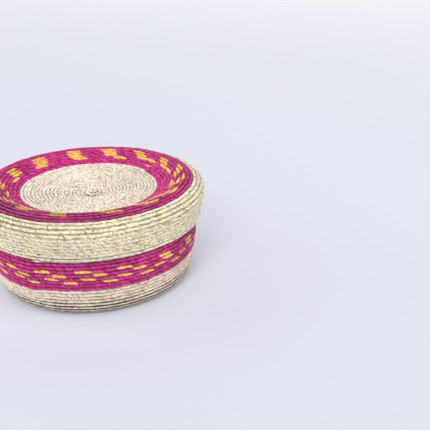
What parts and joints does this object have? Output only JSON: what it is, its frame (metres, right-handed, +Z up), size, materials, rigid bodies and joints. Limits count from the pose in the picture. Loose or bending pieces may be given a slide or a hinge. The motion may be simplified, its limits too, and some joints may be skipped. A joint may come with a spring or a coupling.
{
  "type": "tortilla warmer",
  "caption": "Round coiled palm-leaf basket with a dished cap lid that lifts off, for keeping a stack of tortillas warm.",
  "frame": {"origin": "centre of the flat bottom, on the surface that the basket stands on", "axes": "+Z up along the axis of the basket and the lid; the walls are round, so +X and +Y are free, and -Y is the side seen in the usual front view"},
  "size_m": [0.2322, 0.2322, 0.1043],
  "materials": {
    "natural_palm": "matte",
    "magenta_palm": "matte",
    "yellow_palm": "matte"
  },
  "bodies": {
    "base": {"base_start_knot": "natural_palm", "base_floor_coil": "natural_palm", "base_lower_wall_coil": "natural_palm", "base_dyed_band": "magenta_palm", "base_yellow_splints": "yellow_palm", "base_collar_coil": "natural_palm"},
    "lid": {"lid_start_knot": "natural_palm", "lid_centre_coil": "natural_palm", "lid_dyed_ring": "magenta_palm", "lid_yellow_splints": "yellow_palm", "lid_side_coil": "natural_palm"}
  },
  "joints": [
    {"name": "lid_lift", "type": "slide", "parent": "base", "child": "lid", "axis": [0, 0, 1], "range_m": [0, 0.12]}
  ]
}
